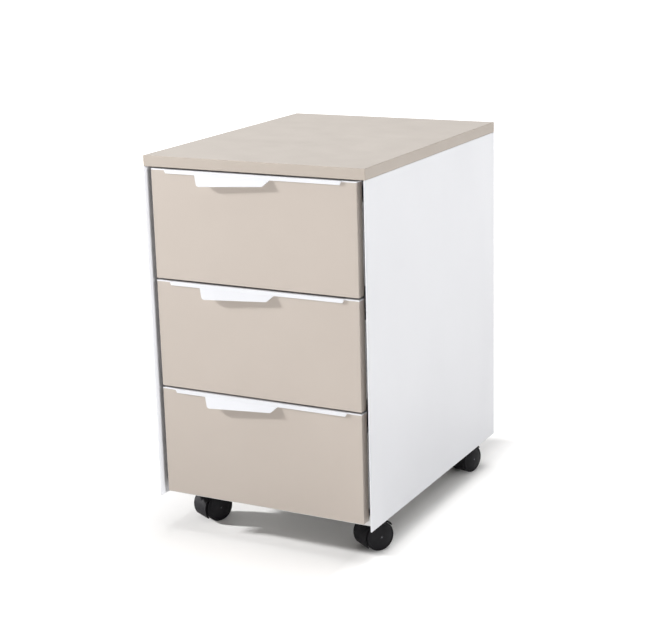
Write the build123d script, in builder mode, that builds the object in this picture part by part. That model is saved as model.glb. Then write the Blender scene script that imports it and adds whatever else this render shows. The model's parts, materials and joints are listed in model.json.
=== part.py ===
from build123d import *
from math import cos, radians, sin, tan
import os

# A three-drawer pedestal cabinet on twin-wheel casters, in millimetres.
# +Z is up, the drawers open towards -Y, and the origin is on the floor under
# the middle of the whole object, handle tabs included.

os.makedirs("parts", exist_ok=True)

# Carcass
body_width = 400.0
body_depth = 515.0
side_height = 566.0
board_thickness = 18.0
side_sheet = 2.0
side_proud = 2.5  # the side sheets stand this far in front of the top panel
flange_width = 16.0
flange_setback = 24.0  # flanges start this far behind the front plane
back_inset = 3.0
rail_depth = 60.0
rail_drop = 12.0
top_edge_radius = 1.0
bend_radius = 1.5

# Drawer fronts
front_gap = 3.2
top_gap = 2.6
lower_front_drop = 3.4  # the lowest front laps this much further down
front_foot = 10.0  # from the side sheets' lower ends up to the lowest front
carcass_front_gap = 2.0  # between a front's back face and the bottom board
front_edge_radius = 0.8

# Handles, one folded strip on the top edge of each front
handle_sheet = 2.0
handle_lip_inset = 25.3  # each end of the lip, from the front's end
handle_lip_height = 6.5
handle_lip_slant = 3.0
handle_bend_radius = 0.8
tab_lean = 27.0
tab_length = 18.3
tab_right_length = 11.0
tab_inset = 83.3  # from the front's left end to the tab
tab_width = 136.5
tab_left_slant = 8.0
tab_right_slant = 11.0
tab_left_radius = 4.0
tab_right_radius = 3.0
rib_thickness = 1.6
rib_depth = 8.0
rib_clearance = 0.1

# Drawer boxes
box_back_gap = 47.0  # from a drawer box's back to the cabinet's back plane
box_headroom = 35.2  # from a box's upper edge to the top of its front
box_rise = 16.0  # from the lower edge of an upper front to the box's underside
box_wall = 12.0
box_bottom = 6.0
box_bottom_rise = 10.0
groove_depth = 5.0
groove_clearance = 0.1

# Telescopic runners
runner_thickness = 12.7
runner_height = 45.5
runner_sheet = 1.5
runner_end_gap = 8.0  # runners end this far in front of the box's back
runner_setback = 2.0  # behind the back face of the drawer front
outer_rail_setback = 6.0
middle_rail_setback = 8.0
rail_clearance = 0.3

# Screws, all with the same head and core
screw_radius = 2.0
screw_head_radius = 3.75
screw_head_height = 2.4
screw_head_rim = 0.9
screw_length = 15.0
drawer_screw_length = 25.0
screw_tip = 3.0
screw_clearance = 0.05
back_screw_end_distance = 60.0

# Casters
caster_side_inset = 45.6  # swivel axes, from the cabinet's sides
front_caster_setback = 58.3
rear_caster_inset = 69.0  # from the cabinet's back plane
front_left_caster_turn = 62.0
front_right_caster_turn = 56.0
rear_left_caster_turn = 68.0
rear_right_caster_turn = 75.0
wheel_radius = 25.0
wheel_width = 16.5
wheel_edge_radius = 2.5
wheel_face_dome = 3.0
wheel_face_rim = 4.0
wheel_hub_radius = 7.0
wheel_rim_wall = 4.0
wheel_face_wall = 4.5
wheel_side_clearance = 0.5
caster_trail = 20.0
caster_web = 10.0
hood_wall = 2.2
hood_clearance = 1.3
hood_headroom = 4.0  # between the hood and the plate
hood_start_angle = 35.0
hood_end_angle = 216.0
hood_width = 40.0
plate_size = 38.0
plate_thickness = 2.5
plate_corner_radius = 5.0
plate_hole_spacing = 28.0
kingpin_radius = 3.5
kingpin_length = 22.0
kingpin_collar_radius = 8.0
kingpin_collar_height = 1.2
neck_radius = 6.5
axle_radius = 3.0
axle_wheel_depth = 13.0
running_clearance = 0.05
swivel_gap = 0.3

# Levels and planes that follow from the sizes above
tab_reach = handle_sheet + tab_length * sin(radians(tab_lean))
front_y = (tab_reach - body_depth) / 2
back_y = front_y + body_depth
caster_height = 2 * wheel_radius + hood_clearance + hood_wall + hood_headroom + plate_thickness
underside_z = caster_height
top_z = underside_z + side_height
half_inner = body_width / 2 - side_sheet
front_back_y = front_y + board_thickness
board_front_y = front_back_y + carcass_front_gap
back_panel_y = back_y - back_inset - side_sheet
flange_back_y = back_panel_y - side_sheet
flange_front_y = front_y + flange_setback
floor_board_top = underside_z + board_thickness
half_box = half_inner - runner_thickness
front_width = 2 * half_box
tab_left = tab_inset - half_box
tab_right = tab_left + tab_width
fronts_total = side_height - front_foot - lower_front_drop - top_gap - 2 * front_gap
front_height = fronts_total / 3  # upper and centre fronts, handle leaf included
front_pitch = front_height + front_gap
drawer_tops = {
    "upper": top_z - top_gap,
    "centre": top_z - top_gap - front_pitch,
    "lower": top_z - top_gap - 2 * front_pitch,
}
box_height = front_height - box_rise - box_headroom
box_length = body_depth - board_thickness - box_back_gap
runner_length = box_length - runner_setback - runner_end_gap
front_drops = {"upper": 0.0, "centre": 0.0, "lower": lower_front_drop}
wheel_offset = caster_web / 2 + wheel_side_clearance
hood_inner_radius = wheel_radius + hood_clearance
hood_outer_radius = hood_inner_radius + hood_wall
plate_underside = caster_height - plate_thickness
neck_top = plate_underside - kingpin_collar_height - swivel_gap
low = (Align.CENTER, Align.CENTER, Align.MIN)
high = (Align.CENTER, Align.CENTER, Align.MAX)
front_low = (Align.CENTER, Align.MIN, Align.MIN)
front_high = (Align.CENTER, Align.MIN, Align.MAX)


def save(built, name):
    """Label a finished piece and write it as its own STEP file."""
    built.part.label = name
    export_step(built.part, f"parts/{name}.step")


def spread(start, end, count):
    """Evenly spaced places from start to end, both ends included."""
    return [start + (end - start) * i / (count - 1) for i in range(count)]


# ---- where the screws go ---------------------------------------------------

flange_mid_x = half_inner - flange_width / 2
flange_screw_ys = spread(flange_front_y + 30, flange_back_y - 30, 3)
top_screw_spots = [(side * flange_mid_x, y) for side in (-1, 1) for y in flange_screw_ys]
rail_screw_spots = [(side * half_inner / 2, flange_front_y + rail_depth / 2) for side in (-1, 1)]
back_screw_zs = spread(underside_z + back_screw_end_distance, top_z - back_screw_end_distance, 4)
back_screw_spots = [(side * flange_mid_x, z) for side in (-1, 1) for z in back_screw_zs]
caster_x = body_width / 2 - caster_side_inset
rear_caster_setback = body_depth - rear_caster_inset
caster_turns = {
    "front_left": (-caster_x, front_y + front_caster_setback, front_left_caster_turn),
    "front_right": (caster_x, front_y + front_caster_setback, front_right_caster_turn),
    "rear_left": (-caster_x, front_y + rear_caster_setback, rear_left_caster_turn),
    "rear_right": (caster_x, front_y + rear_caster_setback, rear_right_caster_turn),
}
half_spacing = plate_hole_spacing / 2
plate_corners = [(i * half_spacing, j * half_spacing) for i in (-1, 1) for j in (-1, 1)]
caster_screw_spots = [
    (x + dx, y + dy) for x, y, turn in caster_turns.values() for dx, dy in plate_corners
]
screw_hole_radius = screw_radius + screw_clearance


def make_screw(length):
    """A pan-head screw: the head sits on the XY plane and the point goes down."""
    with BuildPart() as screw:
        with BuildSketch(Plane.XZ):
            with BuildLine():
                Polyline(
                    (0, screw_head_height),
                    (0, -length),
                    (screw_radius, screw_tip - length),
                    (screw_radius, 0),
                    (screw_head_radius, 0),
                    (screw_head_radius, screw_head_rim),
                )
                TangentArc(
                    (0, screw_head_height),
                    (screw_head_radius, screw_head_rim),
                    tangent=(1, 0),
                )
            make_face()
        revolve(axis=Axis.Z)
    return screw.part


# ---- carcass ---------------------------------------------------------------

with BuildPart() as top_panel:
    with Locations((0, front_y, top_z)):
        Box(body_width, body_depth, board_thickness, align=front_low)
    fillet(top_panel.edges(), top_edge_radius)
    with Locations(*[(x, y, top_z) for x, y in top_screw_spots + rail_screw_spots]):
        Cylinder(screw_hole_radius, screw_length - side_sheet + 1, align=low, mode=Mode.SUBTRACT)
save(top_panel, "top_panel")

for side, name in ((-1, "left_side_panel"), (1, "right_side_panel")):
    sheet_y = front_y - side_proud
    flange_length = flange_back_y - flange_front_y
    with BuildPart() as side_panel:
        with Locations((side * (half_inner + side_sheet / 2), sheet_y, underside_z)):
            Box(side_sheet, back_y - sheet_y, side_height, align=front_low)
        with Locations((side * flange_mid_x, flange_front_y, top_z)):
            Box(flange_width, flange_length, side_sheet, align=front_high)
        with Locations((side * flange_mid_x, flange_front_y, floor_board_top)):
            Box(flange_width, flange_length, side_sheet, align=front_low)
        with Locations((side * flange_mid_x, flange_back_y, floor_board_top)):
            Box(flange_width, side_sheet, top_z - floor_board_top, align=front_low)
        lower_corners = side_panel.edges().filter_by(Axis.X).group_by(Axis.Z)[0]
        fillet(lower_corners, bend_radius)
        with Locations(*[(x, y, top_z) for x, y in top_screw_spots if x * side > 0]):
            Cylinder(screw_hole_radius, side_sheet, align=high, mode=Mode.SUBTRACT)
        with Locations(*[(x, y, floor_board_top) for x, y in top_screw_spots if x * side > 0]):
            Cylinder(screw_hole_radius, side_sheet, align=low, mode=Mode.SUBTRACT)
        for x, z in back_screw_spots:
            if x * side > 0:
                with Locations((x, flange_back_y, z)):
                    Cylinder(
                        screw_hole_radius,
                        side_sheet,
                        rotation=(-90, 0, 0),
                        align=low,
                        mode=Mode.SUBTRACT,
                    )
    save(side_panel, name)

with BuildPart() as bottom_board:
    with Locations((0, board_front_y, underside_z)):
        Box(
            2 * half_inner,
            back_panel_y - board_front_y,
            board_thickness,
            align=front_low,
        )
    front_edges = bottom_board.edges().filter_by(Axis.X).group_by(Axis.Y)[0]
    fillet(front_edges, front_edge_radius)
    flange_holes = [(x, y, floor_board_top) for x, y in top_screw_spots]
    with Locations(*flange_holes):
        Cylinder(screw_hole_radius, screw_length - side_sheet + 1, align=high, mode=Mode.SUBTRACT)
    with Locations(*[(x, y, underside_z) for x, y in caster_screw_spots]):
        Cylinder(
            screw_hole_radius,
            screw_length - plate_thickness + 1,
            align=low,
            mode=Mode.SUBTRACT,
        )
save(bottom_board, "bottom_board")

with BuildPart() as back_panel:
    with Locations((0, back_panel_y, underside_z)):
        Box(2 * half_inner, side_sheet, side_height, align=front_low)
    for x, z in back_screw_spots:
        with Locations((x, back_panel_y, z)):
            Cylinder(
                screw_hole_radius,
                side_sheet,
                rotation=(-90, 0, 0),
                align=low,
                mode=Mode.SUBTRACT,
            )
save(back_panel, "back_panel")

with BuildPart() as front_rail:
    rail_width = 2 * (half_inner - flange_width)
    with Locations((0, flange_front_y, top_z)):
        Box(rail_width, rail_depth, side_sheet, align=front_high)
        Box(rail_width, side_sheet, rail_drop, align=front_high)
    bend = front_rail.edges().filter_by(Axis.X).group_by(Axis.Z)[-1].sort_by(Axis.Y)[0]
    fillet(bend, bend_radius)
    with Locations(*[(x, y, top_z) for x, y in rail_screw_spots]):
        Cylinder(screw_hole_radius, side_sheet, align=high, mode=Mode.SUBTRACT)
save(front_rail, "front_rail")

screw = make_screw(screw_length)
with BuildPart() as carcass_screws:
    under_top = [(x, y, top_z - side_sheet) for x, y in top_screw_spots + rail_screw_spots]
    under_plates = [(x, y, plate_underside) for x, y in caster_screw_spots]
    with Locations(*[Location(spot, (180, 0, 0)) for spot in under_top + under_plates]):
        add(screw)
    with Locations(*[(x, y, floor_board_top + side_sheet) for x, y in top_screw_spots]):
        add(screw)
    back_places = [(x, back_panel_y + side_sheet, z) for x, z in back_screw_spots]
    with Locations(*[Location(spot, (-90, 0, 0)) for spot in back_places]):
        add(screw)
save(carcass_screws, "carcass_screws")


# ---- drawers ---------------------------------------------------------------

def make_front(name, leaf_top, bottom_z):
    """The visible front board, grooved along its top edge for the handle's rib."""
    board_top = leaf_top - handle_sheet
    with BuildPart() as front:
        with Locations((0, front_y, bottom_z)):
            Box(front_width, board_thickness, board_top - bottom_z, align=front_low)
        face_edges = front.edges().group_by(Axis.Y)[0]
        fillet(face_edges - face_edges.group_by(Axis.Z)[-1], front_edge_radius)
        with Locations((0, front_y + board_thickness / 2, board_top)):
            Box(
                front_width,
                rib_thickness + 2 * rib_clearance,
                rib_depth + rib_clearance,
                align=high,
                mode=Mode.SUBTRACT,
            )
        for x, z in drawer_screw_spots(bottom_z + front_drops[name]):
            with Locations((x, front_back_y, z)):
                Cylinder(
                    screw_hole_radius,
                    drawer_screw_length - box_wall + 1,
                    rotation=(-90, 0, 0),
                    align=high,
                    mode=Mode.SUBTRACT,
                )
    return front


def make_handle(leaf_top):
    """Leaf over the front's top edge, lip down its face and one leaning finger tab."""
    lip_y = front_y - handle_sheet
    root_z = leaf_top - handle_lip_height
    down = (-sin(radians(tab_lean)), -cos(radians(tab_lean)))
    tip = (lip_y + tab_length * down[0], root_z + tab_length * down[1])
    inner_tip = (tip[0] - handle_sheet * down[1], tip[1] + handle_sheet * down[0])
    inner_rise = (front_y - inner_tip[0]) / tan(radians(tab_lean))
    with BuildPart() as handle:
        with BuildSketch(Plane.YZ) as section:
            with BuildLine():
                Polyline(
                    (front_back_y, leaf_top),
                    (lip_y, leaf_top),
                    (lip_y, root_z),
                    tip,
                    inner_tip,
                    (front_y, inner_tip[1] + inner_rise),
                    (front_y, leaf_top - handle_sheet),
                    (front_back_y, leaf_top - handle_sheet),
                    close=True,
                )
            make_face()
            outer_bends = section.vertices().filter_by_position(Axis.X, lip_y - 0.01, lip_y + 0.01)
            fillet(outer_bends, handle_bend_radius)
        extrude(amount=front_width / 2, both=True)
        half_lip = half_box - handle_lip_inset
        board_top = leaf_top - handle_sheet
        with BuildSketch(Plane.XZ.offset(-front_back_y)) as outline:
            with BuildLine():
                Polyline(
                    (-front_width / 2, leaf_top),
                    (-front_width / 2, board_top),
                    (-half_lip, board_top),
                    (handle_lip_slant - half_lip, root_z),
                    (tab_left, root_z),
                    (tab_left + tab_left_slant, tip[1]),
                    (tab_right - tab_right_slant, root_z + tab_right_length * down[1]),
                    (tab_right, root_z),
                    (half_lip - handle_lip_slant, root_z),
                    (half_lip, board_top),
                    (front_width / 2, board_top),
                    (front_width / 2, leaf_top),
                    close=True,
                )
            make_face()
            fillet(outline.vertices().group_by(Axis.Y)[0], tab_left_radius)
            right_tip = tab_right - tab_right_slant
            near_right_tip = (right_tip - 0.01, right_tip + 0.01)
            fillet(outline.vertices().filter_by_position(Axis.X, *near_right_tip), tab_right_radius)
        extrude(amount=2 * body_depth, both=True, mode=Mode.INTERSECT)
        with Locations((0, front_y, leaf_top)):
            for side in (-1, 1):
                with Locations((side * (half_lip + front_width) / 2, 0, 0)):
                    Box(
                        front_width - half_lip,
                        handle_sheet,
                        handle_sheet,
                        align=(Align.CENTER, Align.MAX, Align.MAX),
                        mode=Mode.SUBTRACT,
                    )
        with Locations((0, front_y + board_thickness / 2, board_top)):
            Box(front_width, rib_thickness, rib_depth, align=high)
    return handle


def drawer_screw_spots(bottom_z):
    """Four screws that pull the front onto the drawer box."""
    xs = spread(-half_box + 60, half_box - 60, 2)
    zs = spread(bottom_z + box_rise + 40, bottom_z + box_rise + box_height - 30, 2)
    return [(x, z) for x in xs for z in zs]


for name, leaf_top in drawer_tops.items():
    nominal_bottom = leaf_top - front_height
    front_bottom = nominal_bottom - front_drops[name]
    box_z = nominal_bottom + box_rise
    box_back_y = front_back_y + box_length
    panel_z = box_z + box_bottom_rise
    panel_top = panel_z + box_bottom
    half_cavity = half_box - box_wall

    save(make_front(name, leaf_top, front_bottom), f"{name}_drawer_front")
    save(make_handle(leaf_top), f"{name}_drawer_handle")

    for side, side_name in ((-1, "left"), (1, "right")):
        with BuildPart() as box_side:
            with Locations((side * (half_box - box_wall / 2), front_back_y, box_z)):
                Box(box_wall, box_length, box_height, align=front_low)
            top_edges = box_side.edges().filter_by(Axis.Y).group_by(Axis.Z)[-1]
            fillet(top_edges, front_edge_radius)
            with Locations((side * half_cavity, front_back_y, panel_z)):
                Box(
                    2 * (groove_depth + groove_clearance),
                    box_length,
                    box_bottom + groove_clearance,
                    align=front_low,
                    mode=Mode.SUBTRACT,
                )
        save(box_side, f"{name}_drawer_{side_name}_side")

    inner_height = box_z + box_height - panel_top
    with BuildPart() as inner_front:
        with Locations((0, front_back_y, panel_top)):
            Box(2 * half_cavity, box_wall, inner_height, align=front_low)
        for x, z in drawer_screw_spots(nominal_bottom):
            with Locations((x, front_back_y, z)):
                Cylinder(
                    screw_hole_radius,
                    box_wall,
                    rotation=(-90, 0, 0),
                    align=low,
                    mode=Mode.SUBTRACT,
                )
    save(inner_front, f"{name}_drawer_inner_front")

    with BuildPart() as inner_back:
        with Locations((0, box_back_y - box_wall, panel_top)):
            Box(2 * half_cavity, box_wall, inner_height, align=front_low)
        top_edges = inner_back.edges().filter_by(Axis.X).group_by(Axis.Z)[-1]
        fillet(top_edges, front_edge_radius)
    save(inner_back, f"{name}_drawer_inner_back")

    with BuildPart() as drawer_bottom:
        with Locations((0, front_back_y, panel_z)):
            Box(2 * (half_cavity + groove_depth), box_length, box_bottom, align=front_low)
    save(drawer_bottom, f"{name}_drawer_bottom")

    drawer_screw = make_screw(drawer_screw_length)
    with BuildPart() as drawer_screws:
        heads = [(x, front_back_y + box_wall, z) for x, z in drawer_screw_spots(nominal_bottom)]
        with Locations(*[Location(spot, (-90, 0, 0)) for spot in heads]):
            add(drawer_screw)
    save(drawer_screws, f"{name}_drawer_screws")

    # The three nested channels of a runner, as (outer face, depth, half height, setback).
    # Depths are measured from the side panel inwards; the last channel opens the other way.
    runner_z = box_z + box_height / 2
    outer_half = runner_height / 2
    middle_half = outer_half - runner_sheet - rail_clearance
    inner_half = middle_half - runner_sheet - rail_clearance
    lip_end = runner_thickness - runner_sheet - rail_clearance
    middle_web = runner_sheet + rail_clearance
    inner_lip = middle_web + runner_sheet + rail_clearance
    channels = {
        "outer": (0, runner_sheet, lip_end, outer_half, outer_rail_setback),
        "middle": (middle_web, middle_web + runner_sheet, lip_end, middle_half, middle_rail_setback),
        "inner": (runner_thickness, runner_thickness - runner_sheet, inner_lip, inner_half, runner_setback),
    }
    for member, (web, web_inside, lip, half, setback) in channels.items():
        start_y = front_back_y + setback
        length = runner_length - (setback - runner_setback)
        with BuildPart() as rails:
            with BuildSketch(Plane.XZ.offset(-start_y)):
                with BuildLine():
                    Polyline(
                        (half_inner - web, runner_z - half),
                        (half_inner - lip, runner_z - half),
                        (half_inner - lip, runner_z - half + runner_sheet),
                        (half_inner - web_inside, runner_z - half + runner_sheet),
                        (half_inner - web_inside, runner_z + half - runner_sheet),
                        (half_inner - lip, runner_z + half - runner_sheet),
                        (half_inner - lip, runner_z + half),
                        (half_inner - web, runner_z + half),
                        close=True,
                    )
                make_face()
            extrude(amount=-length)
            mirror(about=Plane.YZ)
        save(rails, f"{name}_drawer_{member}_rails")


# ---- casters ---------------------------------------------------------------
# Each piece is made once, with the swivel axis on Z and the wheels trailing towards +X.

axle_axis = Axis((caster_trail, 0, wheel_radius), (0, 1, 0))

with BuildPart() as plate:
    with BuildSketch(Plane.XY.offset(plate_underside)):
        RectangleRounded(plate_size, plate_size, plate_corner_radius)
        with GridLocations(plate_hole_spacing, plate_hole_spacing, 2, 2):
            Circle(screw_hole_radius, mode=Mode.SUBTRACT)
    extrude(amount=plate_thickness)
    with Locations((0, 0, plate_underside)):
        Cylinder(kingpin_collar_radius, kingpin_collar_height, align=high)
        Cylinder(kingpin_radius, kingpin_length, align=high)
    pin_end = plate.edges().group_by(Axis.Z)[0]
    chamfer(pin_end, kingpin_radius / 5)

with BuildPart() as hood:
    arc_plane = Plane((caster_trail, 0, wheel_radius), x_dir=(1, 0, 0), z_dir=(0, -1, 0))
    with BuildSketch(arc_plane):
        mid_radius = (hood_inner_radius + hood_outer_radius) / 2
        sweep_angle = hood_end_angle - hood_start_angle
        with BuildLine():
            inner_arc = CenterArc((0, 0), hood_inner_radius, hood_start_angle, sweep_angle)
            outer_arc = CenterArc((0, 0), hood_outer_radius, hood_start_angle, sweep_angle)
            Line(inner_arc @ 0, outer_arc @ 0)
            Line(inner_arc @ 1, outer_arc @ 1)
        make_face()
    extrude(amount=hood_width / 2, both=True)
    fillet(hood.edges().filter_by(GeomType.CIRCLE), hood_wall / 3)
    with BuildSketch(arc_plane):
        with BuildLine():
            web_arc = CenterArc((0, 0), mid_radius, hood_start_angle, sweep_angle)
            Line(web_arc @ 0, web_arc @ 1)
        make_face()
        Circle(axle_radius * 2.4)
        Circle(axle_radius + running_clearance, mode=Mode.SUBTRACT)
    extrude(amount=caster_web / 2, both=True)
    with BuildSketch(Plane.XY.offset(neck_top)):
        Circle(neck_radius)
    extrude(until=Until.NEXT, dir=(0, 0, -1))
    with Locations((0, 0, neck_top)):
        Cylinder(
            kingpin_radius + running_clearance,
            kingpin_length + 1 - kingpin_collar_height,
            align=high,
            mode=Mode.SUBTRACT,
        )

with BuildPart() as axle:
    axle_length = 2 * (wheel_offset + axle_wheel_depth)
    with Locations((caster_trail, 0, wheel_radius)):
        Cylinder(axle_radius, axle_length, rotation=(90, 0, 0))
    chamfer(axle.edges().filter_by(GeomType.CIRCLE), axle_radius / 6)


def make_wheel(side):
    """A hollow-backed wheel with a domed outer face and a blind bore for the axle."""
    outside = wheel_offset + wheel_width
    face_radius = wheel_radius - wheel_face_rim
    with BuildPart() as wheel:
        with BuildSketch(Plane.YZ.offset(caster_trail)) as profile:
            with BuildLine():
                Polyline(
                    (wheel_offset, wheel_radius + axle_radius + running_clearance),
                    (wheel_offset, wheel_radius + wheel_hub_radius),
                    (outside - wheel_face_wall, wheel_radius + wheel_hub_radius),
                    (outside - wheel_face_wall, 2 * wheel_radius - wheel_rim_wall),
                    (wheel_offset, 2 * wheel_radius - wheel_rim_wall),
                    (wheel_offset, 2 * wheel_radius),
                    (outside, 2 * wheel_radius),
                    (outside, wheel_radius + face_radius),
                )
                TangentArc(
                    (outside + wheel_face_dome, wheel_radius),
                    (outside, wheel_radius + face_radius),
                    tangent=(0, 1),
                )
                Polyline(
                    (outside + wheel_face_dome, wheel_radius),
                    (wheel_offset + axle_wheel_depth + running_clearance, wheel_radius),
                    (
                        wheel_offset + axle_wheel_depth + running_clearance,
                        wheel_radius + axle_radius + running_clearance,
                    ),
                    (wheel_offset, wheel_radius + axle_radius + running_clearance),
                )
            make_face()
            tread_corners = profile.vertices().group_by(Axis.Y)[-1]
            fillet(tread_corners, wheel_edge_radius)
        revolve(axis=axle_axis)
        if side < 0:
            mirror(about=Plane.XZ, mode=Mode.REPLACE)
    return wheel


caster_pieces = {
    "plate": plate,
    "hood": hood,
    "axle": axle,
    "left_wheel": make_wheel(-1),
    "right_wheel": make_wheel(1),
}
for corner, (x, y, turn) in caster_turns.items():
    for piece_name, piece in caster_pieces.items():
        turned = 0 if piece_name == "plate" else turn
        with BuildPart() as placed:
            with Locations(Location((x, y, 0), (0, 0, turned))):
                add(piece.part)
        save(placed, f"{corner}_caster_{piece_name}")
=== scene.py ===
import json
from math import atan2, cos, pi, radians, sin

import bpy
from mathutils import Matrix, Vector


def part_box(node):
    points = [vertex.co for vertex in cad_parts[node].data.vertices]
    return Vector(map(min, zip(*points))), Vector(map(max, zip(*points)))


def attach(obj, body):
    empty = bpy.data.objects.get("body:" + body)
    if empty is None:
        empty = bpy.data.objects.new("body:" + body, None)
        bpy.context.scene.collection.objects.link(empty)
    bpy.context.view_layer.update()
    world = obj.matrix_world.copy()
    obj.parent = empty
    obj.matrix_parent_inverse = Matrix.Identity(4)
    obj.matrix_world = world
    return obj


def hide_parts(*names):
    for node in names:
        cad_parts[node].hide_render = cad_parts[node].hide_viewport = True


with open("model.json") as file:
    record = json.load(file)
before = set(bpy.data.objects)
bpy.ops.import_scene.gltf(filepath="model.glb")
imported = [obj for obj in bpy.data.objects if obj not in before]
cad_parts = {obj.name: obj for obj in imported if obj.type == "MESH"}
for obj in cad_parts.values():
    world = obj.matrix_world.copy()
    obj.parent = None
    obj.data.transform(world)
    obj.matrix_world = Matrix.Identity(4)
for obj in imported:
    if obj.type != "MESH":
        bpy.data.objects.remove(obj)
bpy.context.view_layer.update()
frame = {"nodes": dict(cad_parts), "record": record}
mm = 0.001
sharpFrom = 35  # degrees between two faces
bevelFrom = 50


# small tools for modelling

def deselectAll():
    if bpy.context.object and bpy.context.object.mode != "OBJECT":
        bpy.ops.object.mode_set(mode="OBJECT")
    bpy.ops.object.select_all(action="DESELECT")


def pickOnly(piece):
    deselectAll()
    piece.select_set(True)
    bpy.context.view_layer.objects.active = piece


def applyPlace(piece):
    pickOnly(piece)
    bpy.ops.object.transform_apply(location=True, rotation=True, scale=True)


def addBlock(name, low, high):
    deselectAll()
    centre = [(a + b) / 2 for a, b in zip(low, high)]
    bpy.ops.mesh.primitive_cube_add(size=1, location=centre)
    block = bpy.context.object
    block.name = name
    block.scale = [b - a for a, b in zip(low, high)]
    applyPlace(block)
    return block


def addRound(name, centre, radius, depth, turn=(0, 0, 0), sides=64):
    deselectAll()
    bpy.ops.mesh.primitive_cylinder_add(
        vertices=sides, radius=radius, depth=depth, location=centre, rotation=turn
    )
    drum = bpy.context.object
    drum.name = name
    applyPlace(drum)
    return drum


# kind is FACE, EDGE or VERT, and test gets the middle with a face's normal or an edge's direction
def select(piece, kind, test):
    pickOnly(piece)
    mesh = piece.data
    bpy.ops.object.mode_set(mode="EDIT")
    bpy.ops.mesh.select_mode(type=kind)
    bpy.ops.mesh.select_all(action="DESELECT")
    bpy.ops.object.mode_set(mode="OBJECT")
    points = [v.co for v in mesh.vertices]
    if kind == "FACE":
        for face in mesh.polygons:
            face.select = bool(test(face.center, face.normal))
    elif kind == "EDGE":
        for edge in mesh.edges:
            a, b = (points[i] for i in edge.vertices)
            edge.select = bool(test((a + b) / 2, (b - a).normalized()))
    else:
        for vertex in mesh.vertices:
            vertex.select = bool(test(vertex.co))
    bpy.ops.object.mode_set(mode="EDIT")


def everything(*place):
    return True


def leaveEdit():
    bpy.ops.object.mode_set(mode="OBJECT")


def near(a, b, slack=2e-5):
    return abs(a - b) < slack


def bevelEdges(piece, width, test=everything, steps=3):
    select(piece, "EDGE", test)
    bpy.ops.mesh.bevel(offset=width, segments=steps, affect="EDGES", clamp_overlap=True)
    leaveEdit()


def cutAcross(piece, point, normal):
    select(piece, "FACE", everything)
    bpy.ops.mesh.bisect(plane_co=point, plane_no=normal)
    leaveEdit()


def extrude(move):
    bpy.ops.mesh.extrude_region_move(TRANSFORM_OT_translate={"value": move})


def faceOut(piece):
    select(piece, "FACE", everything)
    bpy.ops.mesh.remove_doubles(threshold=1e-6)
    bpy.ops.mesh.normals_make_consistent(inside=False)
    leaveEdit()


def useModifier(piece, kind, **values):
    pickOnly(piece)
    modifier = piece.modifiers.new(kind.lower(), kind)
    for key, value in values.items():
        setattr(modifier, key, value)
    bpy.ops.object.modifier_apply(modifier=modifier.name)


def roundEdges(piece, width):
    angle = radians(bevelFrom)
    useModifier(piece, "BEVEL", width=width, segments=3, limit_method="ANGLE", angle_limit=angle)


def joinAll(pieces):
    pickOnly(pieces[0])
    for piece in pieces[1:]:
        piece.select_set(True)
    bpy.ops.object.join()
    return pieces[0]


def fuse(piece, other):
    useModifier(piece, "BOOLEAN", object=other, operation="UNION", solver="EXACT")
    bpy.data.objects.remove(other)


def carve(piece, other):
    useModifier(piece, "BOOLEAN", object=other, operation="DIFFERENCE", solver="EXACT")
    bpy.data.objects.remove(other)


def copyTo(master, name, place):
    copy = bpy.data.objects.new(name, master.data.copy())
    bpy.context.scene.collection.objects.link(copy)
    copy.data.transform(place)
    return copy


def finishPiece(piece, material, body, nodes):
    pickOnly(piece)
    bpy.ops.object.shade_smooth_by_angle(angle=radians(sharpFrom))
    useModifier(piece, "WEIGHTED_NORMAL", keep_sharp=True)
    piece.data.materials.clear()
    piece.data.materials.append(material)
    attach(piece, body)
    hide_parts(*nodes)


def trimFaces(piece, material, test):  # a second material on the faces that pass
    piece.data.materials.append(material)
    for face in piece.data.polygons:
        if test(face.center, face.normal):
            face.material_index = 1


def shade(red, green, blue):  # an sRGB colour, 0 to 255, as Blender's linear one
    return [((c / 255 + 0.055) / 1.055) ** 2.4 for c in (red, green, blue)] + [1.0]


# materials

def startMaterial(name):
    material = bpy.data.materials.new(name)
    material.use_nodes = True
    tree = material.node_tree
    shader = tree.nodes["Principled BSDF"]
    place = tree.nodes.new("ShaderNodeTexCoord")
    return material, tree, shader, place.outputs["Object"]


def addNoise(tree, place, scale, detail=2.0, stretch=None):
    if stretch:
        mapping = tree.nodes.new("ShaderNodeMapping")
        mapping.inputs["Scale"].default_value = stretch
        tree.links.new(place, mapping.inputs["Vector"])
        place = mapping.outputs["Vector"]
    noise = tree.nodes.new("ShaderNodeTexNoise")
    noise.inputs["Scale"].default_value = scale
    noise.inputs["Detail"].default_value = detail
    tree.links.new(place, noise.inputs["Vector"])
    return noise.outputs["Fac"]


def addRange(tree, value, fromLow, fromHigh, toLow, toHigh):
    node = tree.nodes.new("ShaderNodeMapRange")
    for name, number in (
        ("From Min", fromLow), ("From Max", fromHigh), ("To Min", toLow), ("To Max", toHigh)
    ):
        node.inputs[name].default_value = number
    tree.links.new(value, node.inputs["Value"])
    return node.outputs["Result"]


def addMix(tree, share, first, second):
    mix = tree.nodes.new("ShaderNodeMix")
    mix.data_type = "RGBA"
    tree.links.new(share, mix.inputs["Factor"])
    for socket, value in ((mix.inputs[6], first), (mix.inputs[7], second)):
        if isinstance(value, list):
            socket.default_value = value
        else:
            tree.links.new(value, socket)
    return mix.outputs[2]


def addBump(tree, shader, heights):  # heights: (output, strength, distance), one over another
    normal = None
    for height, strength, distance in heights:
        bump = tree.nodes.new("ShaderNodeBump")
        bump.inputs["Strength"].default_value = strength
        bump.inputs["Distance"].default_value = distance
        tree.links.new(height, bump.inputs["Height"])
        if normal:
            tree.links.new(normal, bump.inputs["Normal"])
        normal = bump.outputs["Normal"]
    tree.links.new(normal, shader.inputs["Normal"])


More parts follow.
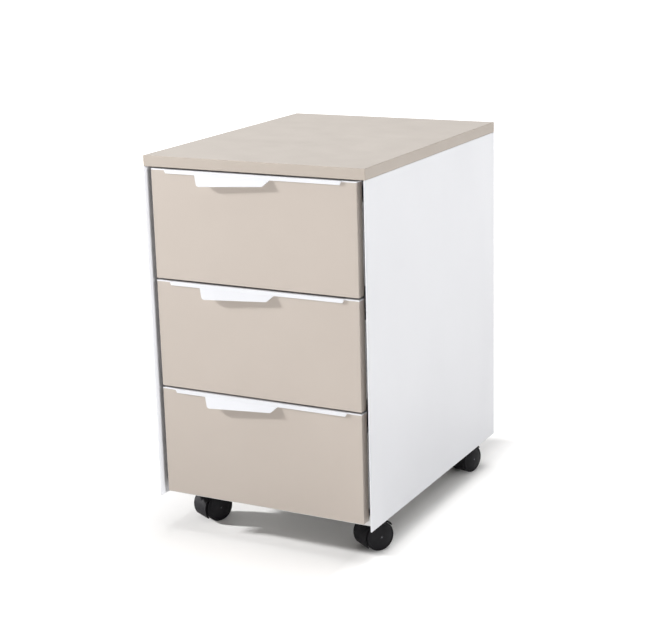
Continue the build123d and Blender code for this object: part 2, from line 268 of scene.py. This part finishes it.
def edgeMask(tree, radius, low, high):  # 0 on flats, 1 on arrises
    rounded = tree.nodes.new("ShaderNodeBevel")
    rounded.samples = 4
    rounded.inputs["Radius"].default_value = radius
    flat = tree.nodes.new("ShaderNodeNewGeometry")
    dot = tree.nodes.new("ShaderNodeVectorMath")
    dot.operation = "DOT_PRODUCT"
    tree.links.new(rounded.outputs["Normal"], dot.inputs[0])
    tree.links.new(flat.outputs["Normal"], dot.inputs[1])
    return addRange(tree, dot.outputs["Value"], high, low, 0.0, 1.0)


def boardMaterial(name, colour, cloud, edgeWearAndHighlight, roughness, grain):
    material, tree, shader, place = startMaterial(name)
    mottle = addNoise(tree, place, 7.0, 4.0)
    speckle = addNoise(tree, place, 420.0, 3.0)
    broad = addMix(tree, addRange(tree, mottle, 0.3, 0.7, 0.0, 1.0), colour, cloud)
    fine = addMix(tree, addRange(tree, speckle, 0.55, 0.8, 0.0, 0.35), broad, cloud)
    # lighter arrises: wear and painted highlight
    wornAndLitEdges = addMix(tree, edgeMask(tree, 0.9 * mm, 0.9, 0.995), fine, edgeWearAndHighlight)
    tree.links.new(wornAndLitEdges, shader.inputs["Base Color"])
    hand = addNoise(tree, place, 23.0, 5.0)
    tree.links.new(addRange(tree, hand, 0.3, 0.7, *roughness), shader.inputs["Roughness"])
    pearl = addNoise(tree, place, 1500.0, 2.0)
    ripple = addNoise(tree, place, 38.0, 2.0)
    addBump(tree, shader, [(ripple, 0.04, 0.3 * mm), (pearl, grain, 0.05 * mm)])
    shader.inputs["Specular IOR Level"].default_value = 0.42
    return material


def powderCoatMaterial(name, colour, tint, edgeWearAndHighlight):
    material, tree, shader, place = startMaterial(name)
    cloud = addNoise(tree, place, 5.0, 3.0)
    broad = addMix(tree, addRange(tree, cloud, 0.3, 0.7, 0.0, 1.0), colour, tint)
    # lighter arrises: wear and painted highlight
    wornAndLitEdges = addMix(tree, edgeMask(tree, 0.6 * mm, 0.85, 0.99), broad, edgeWearAndHighlight)
    tree.links.new(wornAndLitEdges, shader.inputs["Base Color"])
    smear = addNoise(tree, place, 16.0, 5.0, (1.0, 1.0, 0.35))
    tree.links.new(addRange(tree, smear, 0.3, 0.7, 0.36, 0.46), shader.inputs["Roughness"])
    peel = tree.nodes.new("ShaderNodeTexVoronoi")
    peel.feature = "SMOOTH_F1"
    peel.inputs["Scale"].default_value = 620.0
    tree.links.new(place, peel.inputs["Vector"])
    dust = addNoise(tree, place, 2600.0, 1.0)
    addBump(tree, shader, [(peel.outputs["Distance"], 0.10, 0.08 * mm), (dust, 0.05, 0.03 * mm)])
    shader.inputs["Coat Weight"].default_value = 0.15
    shader.inputs["Coat Roughness"].default_value = 0.25
    return material


def nylonMaterial(name, colour, scuffAndEdgeHighlight, roughness):
    material, tree, shader, place = startMaterial(name)
    cloud = addNoise(tree, place, 60.0, 4.0)
    base = addMix(tree, addRange(tree, cloud, 0.35, 0.7, 0.0, 0.6), colour, scuffAndEdgeHighlight)
    # lighter arrises: scuffs and painted highlight
    edgeWearAndHighlight = addMix(tree, edgeMask(tree, 0.8 * mm, 0.8, 0.98), base, scuffAndEdgeHighlight)
    tree.links.new(edgeWearAndHighlight, shader.inputs["Base Color"])
    wipe = addNoise(tree, place, 140.0, 4.0)
    tree.links.new(addRange(tree, wipe, 0.3, 0.7, *roughness), shader.inputs["Roughness"])
    spark = addNoise(tree, place, 2200.0, 2.0)
    scratch = addNoise(tree, place, 300.0, 6.0, (1.0, 1.0, 0.12))
    addBump(tree, shader, [(spark, 0.16, 0.05 * mm), (scratch, 0.06, 0.05 * mm)])
    shader.inputs["IOR"].default_value = 1.53
    shader.inputs["Specular IOR Level"].default_value = 0.12
    return material


def zincMaterial(name, colour, cast, streak):
    material, tree, shader, place = startMaterial(name)
    blush = addNoise(tree, place, 30.0, 3.0)
    tone = addMix(tree, addRange(tree, blush, 0.35, 0.65, 0.0, 1.0), colour, cast)
    tree.links.new(tone, shader.inputs["Base Color"])
    drawn = addNoise(tree, place, 700.0, 3.0, streak)
    tree.links.new(addRange(tree, drawn, 0.3, 0.7, 0.28, 0.44), shader.inputs["Roughness"])
    grit = addNoise(tree, place, 1800.0, 2.0)
    addBump(tree, shader, [(drawn, 0.08, 0.04 * mm), (grit, 0.05, 0.02 * mm)])
    shader.inputs["Metallic"].default_value = 1.0
    return material


# each board's third colour lightens its arrises, as wear and painted highlight; on the hardboard it is
# the raw brown edge
beige = boardMaterial(
    "beigeMelamine", shade(183, 173, 164), shade(180, 170, 161), shade(193, 185, 177),
    roughness=(0.44, 0.54), grain=0.12,
)
# the fronts' laminate painted paler and greyer for the top: painted sheen standing in for the top's
# glossy reflection
beigeTopPaintedSheen = boardMaterial(
    "beigeTopPaintedSheen", shade(188, 181, 174), shade(185, 178, 171), shade(197, 191, 185),
    roughness=(0.44, 0.54), grain=0.12,
)
beigeEdging = boardMaterial(
    "beigeEdging", shade(176, 166, 156), shade(174, 164, 154), shade(186, 177, 168),
    roughness=(0.44, 0.54), grain=0.12,
)
whiteBoard = boardMaterial(
    "whiteMelamine", shade(222, 222, 221), shade(219, 219, 218), shade(228, 228, 227),
    roughness=(0.42, 0.52), grain=0.12,
)
hardboard = boardMaterial(
    "whiteHardboard", shade(216, 216, 213), shade(208, 208, 204), shade(196, 184, 165),
    roughness=(0.5, 0.62), grain=0.3,
)
whiteCoat = powderCoatMaterial(
    "whitePowderCoat", shade(218, 219, 223), shade(216, 217, 221), shade(225, 226, 229)
)
blackNylon = nylonMaterial("blackNylon", shade(22, 21, 24), shade(34, 33, 36), (0.5, 0.66))
wheelNylon = nylonMaterial("wheelNylon", shade(26, 25, 28), shade(42, 41, 44), (0.46, 0.62))
zinc = zincMaterial("zincPlate", shade(190, 192, 194), shade(178, 180, 186), (1.0, 0.05, 1.0))
# zinc painted darker: painted shade for the caster plates, which sit in shade under the cabinet; the
# wheel pins wear it too
zincWithPaintedShade = zincMaterial("zincWithPaintedShade", shade(96, 97, 100), shade(84, 85, 90), (1.0, 0.05, 1.0))
screwZinc = zincMaterial("screwZinc", shade(200, 201, 202), shade(182, 184, 190), (1.0, 1.0, 1.0))
print("materials made")


# carcass

topPanelSize = {"radius": 1.0 * mm, "edging": 0.3 * mm, "seam": 0.15 * mm, "seamDepth": 0.1 * mm}


def edgeSeam(piece, size, test):  # the fine joint between a board's face and its edging
    select(piece, "FACE", test)
    bpy.ops.mesh.inset(thickness=size["edging"])
    bpy.ops.mesh.inset(thickness=size["seam"], depth=-size["seamDepth"])
    bpy.ops.mesh.inset(thickness=size["seam"], depth=size["seamDepth"])
    leaveEdit()


def makeTopPanel(size):
    low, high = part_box("top_panel")
    panel = addBlock("topPanel", low, high)
    bevelEdges(panel, size["radius"], steps=4)
    edgeSeam(panel, size, lambda c, n: abs(n.z) > 0.99)
    # the top's faces take the laminate with the painted sheen
    finishPiece(panel, beigeTopPaintedSheen, "root", ["top_panel"])
    trimFaces(panel, beigeEdging, lambda c, n: abs(n.z) < 0.95)


makeTopPanel(topPanelSize)

sidePanelSize = {
    "sheet": 2.0 * mm, "flangeStart": 26.5 * mm, "rearFlange": 7.0 * mm,
    "lowFlange": 18.0 * mm, "edgeRound": 0.5 * mm,
}


def makeSidePanel(side, node, name, size):
    low, high = (Vector(corner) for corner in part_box(node))
    sheet = size["sheet"]
    outer = max(abs(low.x), abs(high.x))
    inner = min(abs(low.x), abs(high.x))
    xs = sorted((side * outer, side * (outer - sheet)))
    panel = addBlock(name, (xs[0], low.y, low.z), (xs[1], high.y, high.z))
    flangeFront = low.y + size["flangeStart"]
    flangeBack = high.y - size["rearFlange"]
    lowFlange = low.z + size["lowFlange"]
    for z in (lowFlange, lowFlange + sheet, high.z - sheet):
        cutAcross(panel, (0, 0, z), (0, 0, 1))
    for y in (flangeFront, flangeBack, flangeBack + sheet):
        cutAcross(panel, (0, y, 0), (0, 1, 0))
    innerX = side * (outer - sheet)

    def onFlange(c, n):
        if not near(c.x, innerX) or c.z < lowFlange or c.y > flangeBack + sheet:
            return False
        alongTop = c.z > high.z - sheet or c.z < lowFlange + sheet
        return (alongTop and flangeFront < c.y) or c.y > flangeBack

    select(panel, "FACE", onFlange)
    extrude((-side * (outer - sheet - inner), 0, 0))
    leaveEdit()
    faceOut(panel)
    roundEdges(panel, size["edgeRound"])
    finishPiece(panel, whiteCoat, "root", [node])


for side, word in ((-1, "left"), (1, "right")):
    makeSidePanel(side, f"{word}_side_panel", f"{word}SidePanel", sidePanelSize)


plainBoardSize = {"bottomRadius": 0.6 * mm, "backRadius": 0.4 * mm}


def makePlainBoard(node, name, material, body, radius):
    low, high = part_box(node)
    board = addBlock(name, low, high)
    bevelEdges(board, radius)
    finishPiece(board, material, body, [node])


makePlainBoard(
    "bottom_board", "bottomBoard", whiteBoard, "root", plainBoardSize["bottomRadius"]
)
makePlainBoard("back_panel", "backPanel", whiteCoat, "root", plainBoardSize["backRadius"])
print("carcass made")


# drawer fronts, handles and boxes

drawers = ("upper", "centre", "lower")
frontSize = {"radius": 0.8 * mm, "edging": 0.3 * mm, "seam": 0.15 * mm, "seamDepth": 0.1 * mm}
handleSize = {
    "sheet": 2.0 * mm, "lipHalf": 160.0 * mm, "lipHeight": 6.5 * mm, "lipSlant": 3.0 * mm,
    "tabLeft": -102.0 * mm, "tabRight": 34.5 * mm, "leftSlant": 8.0 * mm, "rightSlant": 11.0 * mm,
    "leftLength": 18.3 * mm, "rightLength": 11.0 * mm, "lean": 27.0,
    "leftCorner": 4.0 * mm, "rightCorner": 1.6 * mm, "bend": 1.0 * mm, "edgeRound": 0.35 * mm,
}


def makeFront(drawer, size):
    low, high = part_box(f"{drawer}_drawer_front")
    front = addBlock(f"{drawer}Front", low, high)
    topZ = high[2]
    bevelEdges(front, size["radius"], lambda c, d: not near(c.z, topZ), steps=4)
    edgeSeam(front, size, lambda c, n: abs(n.y) > 0.99)
    finishPiece(front, beige, f"{drawer}_drawer", [f"{drawer}_drawer_front"])


def makeHandle(drawer, size):
    node = f"{drawer}_drawer_handle"
    low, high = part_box(node)
    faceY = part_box(f"{drawer}_drawer_front")[0][1]
    leafTop, backY, half = high[2], high[1], high[0]
    lipY, rootZ = faceY - size["sheet"], leafTop - size["lipHeight"]
    lipHalf, tabLeft, tabRight = size["lipHalf"], size["tabLeft"], size["tabRight"]
    deselectAll()
    bpy.ops.mesh.primitive_plane_add(size=1, location=(0, (faceY + backY) / 2, leafTop))
    handle = bpy.context.object
    handle.name = f"{drawer}Handle"
    handle.scale = (2 * half, backY - faceY, 1)
    applyPlace(handle)
    for x in (-lipHalf, tabLeft, tabRight, lipHalf):
        cutAcross(handle, (x, 0, 0), (1, 0, 0))
    select(handle, "EDGE", lambda c, d: near(c.y, faceY) and abs(c.x) < lipHalf)
    extrude((0, -size["sheet"], 0))
    extrude((0, 0, -size["lipHeight"]))
    leaveEdit()
    for sign in (-1, 1):  # the lip's slanted ends
        select(handle, "VERT", lambda v: near(v.z, rootZ) and near(v.x, sign * lipHalf))
        bpy.ops.transform.translate(value=(-sign * size["lipSlant"], 0, 0))
        leaveEdit()
    lean = radians(size["lean"])
    down = Vector((0, -sin(lean), -cos(lean)))
    select(handle, "EDGE", lambda c, d: near(c.z, rootZ) and tabLeft < c.x < tabRight)
    extrude(down * size["leftLength"])
    leaveEdit()
    tipZ = rootZ + down.z * size["leftLength"]
    select(handle, "VERT", lambda v: near(v.z, tipZ) and near(v.x, tabRight))
    shorter = size["rightLength"] - size["leftLength"]
    bpy.ops.transform.translate(value=down * shorter + Vector((-size["rightSlant"], 0, 0)))
    leaveEdit()
    select(handle, "VERT", lambda v: near(v.z, tipZ))
    bpy.ops.transform.translate(value=(size["leftSlant"], 0, 0))
    bpy.ops.mesh.bevel(offset=size["leftCorner"], segments=8, affect="VERTICES")
    leaveEdit()
    rightTipZ = rootZ + down.z * size["rightLength"]
    select(handle, "VERT", lambda v: near(v.z, rightTipZ) and near(v.x, tabRight - size["rightSlant"]))
    bpy.ops.mesh.bevel(offset=size["rightCorner"], segments=6, affect="VERTICES")
    leaveEdit()

    def onBend(c, d):
        tabRoot = near(c.z, rootZ) and tabLeft < c.x < tabRight
        return abs(d.x) > 0.99 and near(c.y, lipY) and (near(c.z, leafTop) or tabRoot)

    bevelEdges(handle, size["bend"], onBend, steps=5)
    if handle.data.polygons[0].normal.z < 0:
        select(handle, "FACE", everything)
        bpy.ops.mesh.flip_normals()
        leaveEdit()
    useModifier(handle, "SOLIDIFY", thickness=size["sheet"], offset=-1.0, use_even_offset=True)
    roundEdges(handle, size["edgeRound"])
    faceOut(handle)
    finishPiece(handle, whiteCoat, f"{drawer}_drawer", [node])


def dressNode(node, material):  # a CAD solid whose shape is right gets its finish
    solid = frame["nodes"][node]
    solid.data.materials.clear()
    solid.data.materials.append(material)


for drawer in drawers:
    makeFront(drawer, frontSize)
    makeHandle(drawer, handleSize)
    for part in ("left_side", "right_side", "inner_front", "inner_back"):
        dressNode(f"{drawer}_drawer_{part}", whiteBoard)
    dressNode(f"{drawer}_drawer_bottom", hardboard)
    for part in ("outer_rails", "middle_rails", "inner_rails"):
        dressNode(f"{drawer}_drawer_{part}", zinc)
print("drawers made")

dressNode("front_rail", whiteCoat)


# screws: one head with its cross recess, copied to every CAD screw

screwSize = {
    "head": 3.75 * mm, "rim": 0.9 * mm, "height": 2.4 * mm, "core": 2.0 * mm, "tip": 3.0 * mm,
    "slotLength": 3.8 * mm, "slotWidth": 0.8 * mm, "slotLow": 0.9 * mm, "slotHigh": 3.0 * mm,
    "carcassLength": 15.0 * mm, "drawerLength": 25.0 * mm, "twist": 0.7,
}


def makeScrew(name, length, size):  # head on the XY plane, point down
    screw = addRound(name, (0, 0, size["rim"] / 2), size["head"], size["rim"], sides=32)
    select(screw, "FACE", lambda c, n: n.z > 0.9)
    rise = size["height"] - size["rim"]
    for share, lift in ((0.30, 0.55), (0.32, 0.30), (0.30, 0.12), (0.30, 0.03)):  # the domed head
        bpy.ops.mesh.inset(thickness=size["head"] * share * 0.7, depth=rise * lift)
    leaveEdit()
    select(screw, "FACE", lambda c, n: n.z < -0.9)
    bpy.ops.mesh.inset(thickness=size["head"] - size["core"])
    extrude((0, 0, size["tip"] - length))
    bpy.ops.mesh.inset(thickness=size["core"] * 0.9, depth=size["tip"])
    leaveEdit()
    for turn in (0, 90):
        x, y = size["slotLength"] / 2, size["slotWidth"] / 2
        blade = addBlock("blade", (-x, -y, size["slotLow"]), (x, y, size["slotHigh"]))
        select(blade, "FACE", lambda c, n: n.z < -0.9)
        bpy.ops.transform.resize(value=(0.45, 0.6, 1))
        leaveEdit()
        blade.rotation_euler.z = radians(turn)
        applyPlace(blade)
        carve(screw, blade)
    faceOut(screw)
    return screw


def screwPlaces(node):  # where each screw of a CAD group stands, and which way its head looks
    pickOnly(frame["nodes"][node])
    bpy.ops.object.duplicate()
    copy = bpy.context.object
    select(copy, "FACE", everything)
    bpy.ops.mesh.remove_doubles(threshold=1e-6)
    bpy.ops.mesh.separate(type="LOOSE")
    leaveEdit()
    places = []
    for loose in list(bpy.context.selected_objects):
        points = [v.co for v in loose.data.vertices]
        low = Vector([min(p[i] for p in points) for i in range(3)])
        high = Vector([max(p[i] for p in points) for i in range(3)])
        long = max(range(3), key=lambda i: high[i] - low[i])
        middle = (low + high) / 2
        wide = max(points, key=lambda p: sum((p[i] - middle[i]) ** 2 for i in range(3) if i != long))
        looks = 1 if wide[long] > middle[long] else -1
        seat = middle.copy()
        seat[long] = (high if looks > 0 else low)[long] - looks * screwSize["height"]
        way = Vector([looks if i == long else 0 for i in range(3)])
        places.append((seat, way))
        bpy.data.objects.remove(loose)
    return places


def placeScrews(node, name, length, body):
    master = makeScrew(name, length, screwSize)
    heads = []
    for seat, way in screwPlaces(node):
        turn = way.to_track_quat("Z", "Y").to_matrix().to_4x4()
        twist = Matrix.Rotation(len(heads) * screwSize["twist"], 4, "Z")
        heads.append(copyTo(master, name, Matrix.Translation(seat) @ turn @ twist))
    bpy.data.objects.remove(master)
    screws = joinAll(heads)
    finishPiece(screws, screwZinc, body, [node])


placeScrews("carcass_screws", "carcassScrews", screwSize["carcassLength"], "root")
for drawer in drawers:
    length = screwSize["drawerLength"]
    placeScrews(f"{drawer}_drawer_screws", f"{drawer}DrawerScrews", length, f"{drawer}_drawer")
print("screws made")


# casters, modelled once about their own swivel axis with the wheels trailing towards +X

wheelSize = {
    "radius": 25.0 * mm, "width": 16.5 * mm, "shoulder": 2.4 * mm, "rim": 1.0 * mm,
    "groove": 0.8 * mm, "grooveSide": 0.25 * mm, "grooveFloor": 0.3 * mm,
    "dome": 3.0 * mm, "domeCurve": 2.4, "domeSteps": 10, "cap": 3.2 * mm,
    "wall": 4.0 * mm, "hub": 7.0 * mm, "inside": 11.0 * mm, "draft": 0.4 * mm,
}
hoodSize = {
    "inner": 26.3 * mm, "wall": 2.2 * mm, "width": 40.0 * mm, "start": 35.0, "end": 216.0,
    "web": 10.0 * mm, "eye": 7.2 * mm, "eyeProud": 0.4 * mm, "round": 0.8 * mm,
    "neck": 6.5 * mm, "neckTop": 56.0 * mm, "neckRise": 8.0 * mm, "neckRound": 0.6 * mm,
}
casterSize = {"trail": 20.0 * mm, "wheelInside": 5.5 * mm, "pin": 0.7 * mm}


def makeWheel(size):  # outer face towards +Y, inner face on y = 0, axle through the origin
    radius, width = size["radius"], size["width"]
    wheel = addRound("wheel", (0, width / 2, 0), radius, width, (pi / 2, 0, 0), sides=96)
    bevelEdges(wheel, size["shoulder"], lambda c, d: near(c.y, width) or near(c.y, 0), steps=6)
    select(wheel, "FACE", lambda c, n: n.y > 0.99 and Vector((c.x, c.z)).length < 1e-4)
    bpy.ops.mesh.inset(thickness=size["rim"])
    bpy.ops.mesh.inset(thickness=size["grooveSide"], depth=-size["groove"])
    bpy.ops.mesh.inset(thickness=size["grooveFloor"])
    bpy.ops.mesh.inset(thickness=size["grooveSide"], depth=size["groove"])
    edge = radius - size["shoulder"] - size["rim"] - 2 * size["grooveSide"] - size["grooveFloor"]
    lift, reach, steps = 0.0, edge, size["domeSteps"]
    for step in range(1, steps + 1):  # the domed cover, steep at its edge and flat in the middle
        inner = edge + (size["cap"] - edge) * step / steps
        height = size["dome"] * (1 - (inner / edge) ** size["domeCurve"])
        bpy.ops.mesh.inset(thickness=reach - inner, depth=height - lift)
        lift, reach = height, inner
    for thickness, depth in ((0.2, -0.25), (0.2, 0.35), (1.2, 0.15)):  # the cap in its own small groove
        bpy.ops.mesh.inset(thickness=thickness * mm, depth=depth * mm)
    leaveEdit()
    select(wheel, "FACE", lambda c, n: n.y < -0.99 and Vector((c.x, c.z)).length < 1e-4)
    bpy.ops.mesh.inset(thickness=size["wall"] - size["shoulder"])
    bpy.ops.mesh.inset(thickness=size["draft"], depth=-size["inside"])
    bpy.ops.mesh.inset(thickness=radius - size["wall"] - size["hub"] - 2 * size["draft"])
    bpy.ops.mesh.inset(thickness=size["draft"], depth=size["inside"])
    leaveEdit()
    faceOut(wheel)
    return wheel


def makeHood(size):
    axle = Vector((casterSize["trail"], 0, wheelSize["radius"]))
    inner, outer = size["inner"], size["inner"] + size["wall"]
    start, end = radians(size["start"]), radians(size["end"])
    deselectAll()
    bpy.ops.mesh.primitive_plane_add(size=1, location=(0, 0, 0))
    hood = bpy.context.object
    hood.name = "hood"
    hood.scale = (size["wall"], size["width"], 1)
    hood.location = ((inner + outer) / 2, 0, 0)
    applyPlace(hood)
    select(hood, "VERT", everything)
    bpy.ops.mesh.bevel(offset=size["round"], segments=4, affect="VERTICES")
    leaveEdit()
    hood.rotation_euler.y = -start
    applyPlace(hood)
    select(hood, "FACE", everything)
    bpy.ops.mesh.spin(steps=48, angle=end - start, center=(0, 0, 0), axis=(0, 1, 0))
    leaveEdit()
    faceOut(hood)
    web = addRound("web", (0, 0, 0), (inner + outer) / 2, size["web"], (pi / 2, 0, 0), sides=96)
    middle = (start + end) / 2
    depth = cos((end - start) / 2) * (inner + outer) / 2
    chord = Vector((cos(middle), 0, sin(middle)))
    select(web, "FACE", everything)
    bpy.ops.mesh.bisect(plane_co=chord * depth, plane_no=chord, use_fill=True, clear_inner=True)
    leaveEdit()
    fuse(hood, web)
    eyeLength = size["web"] + size["eyeProud"]
    fuse(hood, addRound("eye", (0, 0, 0), size["eye"], eyeLength, (pi / 2, 0, 0)))
    hood.location = axle
    applyPlace(hood)
    neckLow = wheelSize["radius"] + size["neckRise"]
    neckHeight = size["neckTop"] - neckLow
    neck = addRound("neck", (0, 0, neckLow + neckHeight / 2), size["neck"], neckHeight)
    bevelEdges(neck, size["neckRound"], lambda c, d: near(c.z, size["neckTop"]))
    fuse(hood, neck)
    faceOut(hood)
    return hood


wheelMaster = makeWheel(wheelSize)
hoodMaster = makeHood(hoodSize)
joints = {joint["name"]: joint for joint in frame["record"]["behaviour"]["joints"]}
for corner in ("front_left", "front_right", "rear_left", "rear_right"):
    swivel = Vector(joints[f"{corner}_caster_swivel"]["pos_m"])
    axleWay = Vector(joints[f"{corner}_right_wheel_spin"]["axis"])
    turn = Matrix.Rotation(atan2(-axleWay.x, axleWay.y), 4, "Z")
    place = Matrix.Translation((swivel.x, swivel.y, 0)) @ turn
    camel = corner.split("_")[0] + corner.split("_")[1].capitalize()
    hood = copyTo(hoodMaster, f"{camel}Hood", place)
    finishPiece(hood, blackNylon, f"{corner}_swivel", [f"{corner}_caster_hood"])
    axle = Matrix.Translation((casterSize["trail"], 0, wheelSize["radius"]))
    for word, flip in (("right", 0), ("left", pi)):
        seat = axle @ Matrix.Rotation(flip, 4, "Z")
        stand = place @ seat @ Matrix.Translation((0, casterSize["wheelInside"], 0))
        wheel = copyTo(wheelMaster, f"{camel}{word.capitalize()}Wheel", stand)
        node = f"{corner}_caster_{word}_wheel"
        finishPiece(wheel, wheelNylon, f"{corner}_{word}_wheel", [node])
        back = stand.inverted()

        def onPin(c, n):
            spot = back @ c
            return near(spot.x, 0, casterSize["pin"]) and near(spot.z, 0, casterSize["pin"])

        trimFaces(wheel, zincWithPaintedShade, onPin)
    # the caster plates take the zinc painted darker, as painted shade
    dressNode(f"{corner}_caster_plate", zincWithPaintedShade)
    dressNode(f"{corner}_caster_axle", zinc)
for master in (wheelMaster, hoodMaster):
    bpy.data.objects.remove(master)
print("casters made")


# floor, light and camera

cameraSize = {
    "eye": (1.2416, -2.3304, 1.0415), "azimuth": 27.982, "elevation": 15.027, "roll": -1.537,
    "lens": 85.16, "sensor": 36.0,
}
stageSize = {
    "floor": 40.0, "paint": (236, 235, 234), "sky": 0.11, "aim": (0, 0, 0.32),
    "glow": 1.05, "glowSpan": (0.5, 4.0), "glowRight": 0.55, "glowRightSpan": (0.15, 0.24),
    "key": 520.0, "keySize": 0.45, "keyAway": 5.5, "keyWay": (-3.2, -1.0, 1.15),
    "fill": 12.0, "fillSize": 1.2, "fillAway": 5.0, "fillWay": (0.85, -0.5, 0.30),
    "top": 186.0, "topSize": 3.0, "topAway": 4.5, "topWay": (0.12, 0.10, 1.0),
    "edge": 230.0, "edgeSize": 1.0, "edgeAway": 5.0, "edgeWay": (0.85, -0.55, 0.35),
}


def makeFloor(size):
    deselectAll()
    bpy.ops.mesh.primitive_plane_add(size=size["floor"], location=(0, 0, 0))
    floor = bpy.context.object
    floor.name = "floor"
    material, tree, shader, place = startMaterial("paleFloor")
    soft = addNoise(tree, place, 3.0, 2.0)
    paint = addMix(tree, soft, shade(*size["paint"]), shade(*[part - 2 for part in size["paint"]]))
    tree.links.new(paint, shader.inputs["Base Color"])
    away = tree.nodes.new("ShaderNodeVectorMath")
    away.operation = "LENGTH"
    tree.links.new(place, away.inputs[0])
    across = tree.nodes.new("ShaderNodeSeparateXYZ")
    tree.links.new(place, across.inputs["Vector"])
    both = tree.nodes.new("ShaderNodeMath")  # painted light: the floor glows round the cabinet, and more to its right, where the key's shadow falls
    glow = addRange(tree, away.outputs["Value"], *size["glowSpan"], 0.0, size["glow"])
    glowRight = addRange(tree, across.outputs["X"], *size["glowRightSpan"], 0.0, size["glowRight"])
    tree.links.new(glow, both.inputs[0])
    tree.links.new(glowRight, both.inputs[1])
    tree.links.new(both.outputs["Value"], shader.inputs["Emission Strength"])
    shader.inputs["Emission Color"].default_value = (1, 1, 1, 1)
    shader.inputs["Roughness"].default_value = 0.9
    shader.inputs["Specular IOR Level"].default_value = 0.1
    floor.data.materials.append(material)


def makeSky(size):
    world = bpy.data.worlds.new("studio")
    bpy.context.scene.world = world
    world.use_nodes = True
    tree = world.node_tree
    back = tree.nodes["Background"]
    back.inputs["Color"].default_value = (1, 1, 1, 1)
    path = tree.nodes.new("ShaderNodeLightPath")  # seen white, but giving only a soft light
    seen = addRange(tree, path.outputs["Is Camera Ray"], 0.0, 1.0, size["sky"], 1.0)
    tree.links.new(seen, back.inputs["Strength"])


def makeLamp(size, name):
    way = Vector(size[f"{name}Way"]).normalized()
    target = Vector(size["aim"])
    deselectAll()
    bpy.ops.object.light_add(type="AREA", location=target + way * size[f"{name}Away"])
    lamp = bpy.context.object
    lamp.name = name
    lamp.data.energy = size[name]
    lamp.data.size = size[f"{name}Size"]
    lamp.rotation_euler = way.to_track_quat("Z", "Y").to_euler()
    lamp.visible_camera = False
    return lamp


def makeCamera(size):
    camera = bpy.data.objects.new("camera", bpy.data.cameras.new("camera"))
    bpy.context.scene.collection.objects.link(camera)
    camera.data.lens = size["lens"]
    camera.data.sensor_width = size["sensor"]
    around = Matrix.Rotation(radians(size["azimuth"]), 4, "Z")
    tip = Matrix.Rotation(pi / 2 - radians(size["elevation"]), 4, "X")
    bank = Matrix.Rotation(radians(size["roll"]), 4, "Z")
    camera.matrix_world = Matrix.Translation(size["eye"]) @ around @ tip @ bank
    bpy.context.scene.camera = camera


makeFloor(stageSize)
makeSky(stageSize)
key = makeLamp(stageSize, "key")
makeLamp(stageSize, "fill")
makeLamp(stageSize, "top")
leftPanel = bpy.data.objects["leftSidePanel"]
spared = bpy.data.collections.new("keySpares")  # what faces the key from the left would burn out
for piece in [leftPanel] + [
    frame["nodes"][f"{drawer}_drawer_{part}"]
    for drawer in drawers
    for part in ("left_side", "outer_rails", "middle_rails", "inner_rails")
]:
    spared.objects.link(piece)
key.light_linking.receiver_collection = spared
for row in spared.collection_objects:
    row.light_linking.link_state = "EXCLUDE"
edge = makeLamp(stageSize, "edge")
edgeOnly = bpy.data.collections.new("edgeOnly")  # the left panel's front edge has a lamp of its own
edgeOnly.objects.link(leftPanel)
edge.light_linking.receiver_collection = edgeOnly
makeCamera(cameraSize)
bpy.context.scene.view_settings.view_transform = "Standard"
print("stage and camera made")
